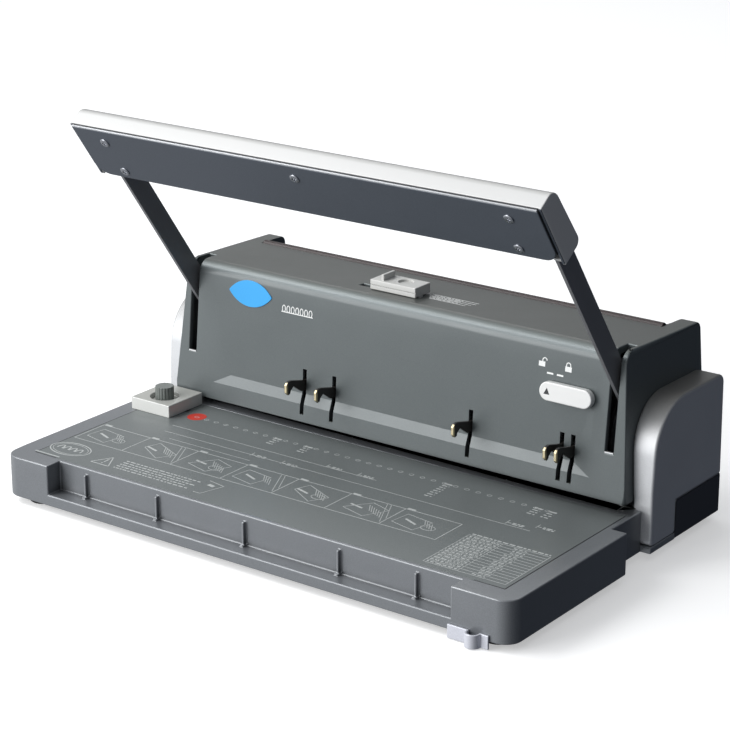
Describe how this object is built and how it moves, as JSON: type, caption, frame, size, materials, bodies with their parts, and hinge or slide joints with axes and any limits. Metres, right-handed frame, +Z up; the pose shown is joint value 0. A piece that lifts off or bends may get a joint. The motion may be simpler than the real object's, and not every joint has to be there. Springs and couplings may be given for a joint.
{
  "type": "punch and bind machine",
  "caption": "Manual wire comb punching and binding machine with a flat paper table, a punch housing, a two-armed lever handle, wire hooks and a closing trough.",
  "frame": {"origin": "middle of the footprint, on the surface that the feet stand on", "axes": "+X to the right as the user sees it, +Y from the front to the back, +Z up"},
  "size_m": [0.393, 0.2592, 0.2513],
  "materials": {
    "base_plastic": "metallic grey moulding, fine grain",
    "table_plastic": "metallic grey panel with pale printed lines",
    "case_plastic": "grey-green metallic satin",
    "silver_plastic": "silver satin",
    "black_plastic": "fine grain",
    "latch_plastic": "satin",
    "white_plastic": "satin white",
    "pale_plastic": "satin",
    "knob_plastic": "ribbed satin",
    "blue_plastic": "gloss",
    "smoked_plastic": "clear smoked",
    "plate_paint": "satin paint",
    "arm_paint": "satin black",
    "hook_black": "black with bright tips",
    "steel": "ground",
    "spring_steel": "drawn wire",
    "screw_steel": "nickel",
    "bronze": "sintered",
    "rubber": "matte"
  },
  "bodies": {
    "machine": {"base_shell": "base_plastic", "paper_table": "table_plastic", "base_pan": "black_plastic", "feet": "rubber", "pan_screws": "screw_steel", "case_front": "case_plastic", "rear_cover": "black_plastic", "rear_screws": "screw_steel", "end_cap_left": "silver_plastic", "end_cap_right": "silver_plastic", "side_frame_left": "steel", "side_frame_right": "steel", "shaft_bushes": "bronze", "die_plate": "steel", "throat_spacers": "steel", "guide_plate": "steel", "throat_guide": "steel", "paper_stop": "steel", "tie_rods": "steel", "guide_posts": "steel", "hook_rods": "steel", "closer_bed": "steel", "lid_pins": "steel", "badge": "blue_plastic"},
    "handle": {"handle_cover": "white_plastic", "handle_plate": "plate_paint", "handle_screws": "screw_steel", "arm_left": "arm_paint", "arm_right": "arm_paint", "pivot_shaft": "steel", "press_cams": "steel", "arm_bolts": "screw_steel"},
    "press": {"pressure_bar": "steel", "punch_pins": "steel", "closer_bar": "steel", "return_springs": "spring_steel"},
    "hooks": {"hook_bar": "steel", "wire_hooks": "hook_black"},
    "lock": {"lock_slider": "white_plastic", "lock_shoe": "black_plastic"},
    "selector": {"size_selector": "pale_plastic", "selector_stop": "black_plastic"},
    "guide": {"edge_guide": "pale_plastic"},
    "knob": {"guide_knob": "knob_plastic"},
    "drawer": {"chip_drawer": "black_plastic", "drawer_front": "black_plastic"},
    "lid": {"rear_lid": "smoked_plastic"},
    "latch": {"pan_latch": "latch_plastic"}
  },
  "joints": [
    {"name": "handle_hinge", "type": "hinge", "parent": "machine", "child": "handle", "pos_m": [0, 0.06755, 0.075], "axis": [1, 0, 0], "range_deg": [0, 50]},
    {"name": "press_slide", "type": "slide", "parent": "machine", "child": "press", "axis": [0, 0, -1], "range_m": [0, 0.008], "deforming": ["return_springs"]},
    {"name": "hook_slide", "type": "slide", "parent": "machine", "child": "hooks", "axis": [0, 0, 1], "range_m": [-0.016, 0.006]},
    {"name": "lock_slide", "type": "slide", "parent": "machine", "child": "lock", "axis": [1, 0, 0], "range_m": [0, 0.009]},
    {"name": "selector_slide", "type": "slide", "parent": "machine", "child": "selector", "axis": [1, 0, 0], "range_m": [-0.035, 0]},
    {"name": "guide_slide", "type": "slide", "parent": "machine", "child": "guide", "axis": [1, 0, 0], "range_m": [-0.003, 0.003]},
    {"name": "knob_turn", "type": "hinge", "parent": "guide", "child": "knob", "pos_m": [-0.17, 0.00615, 0.043], "axis": [0, 0, 1], "range_deg": [-43, 43]},
    {"name": "drawer_slide", "type": "slide", "parent": "machine", "child": "drawer", "axis": [1, 0, 0], "range_m": [0, 0.28]},
    {"name": "lid_hinge", "type": "hinge", "parent": "machine", "child": "lid", "pos_m": [0, 0.10435, 0.128], "axis": [1, 0, 0], "range_deg": [0, 110]},
    {"name": "latch_slide", "type": "slide", "parent": "machine", "child": "latch", "axis": [1, 0, 0], "range_m": [-0.01, 0]}
  ],
  "couplings": [
    {"joint": "press_slide", "follows": "handle_hinge", "m_per_rad": 0.00916},
    {"joint": "knob_turn", "follows": "guide_slide", "rad_per_m": 250}
  ]
}
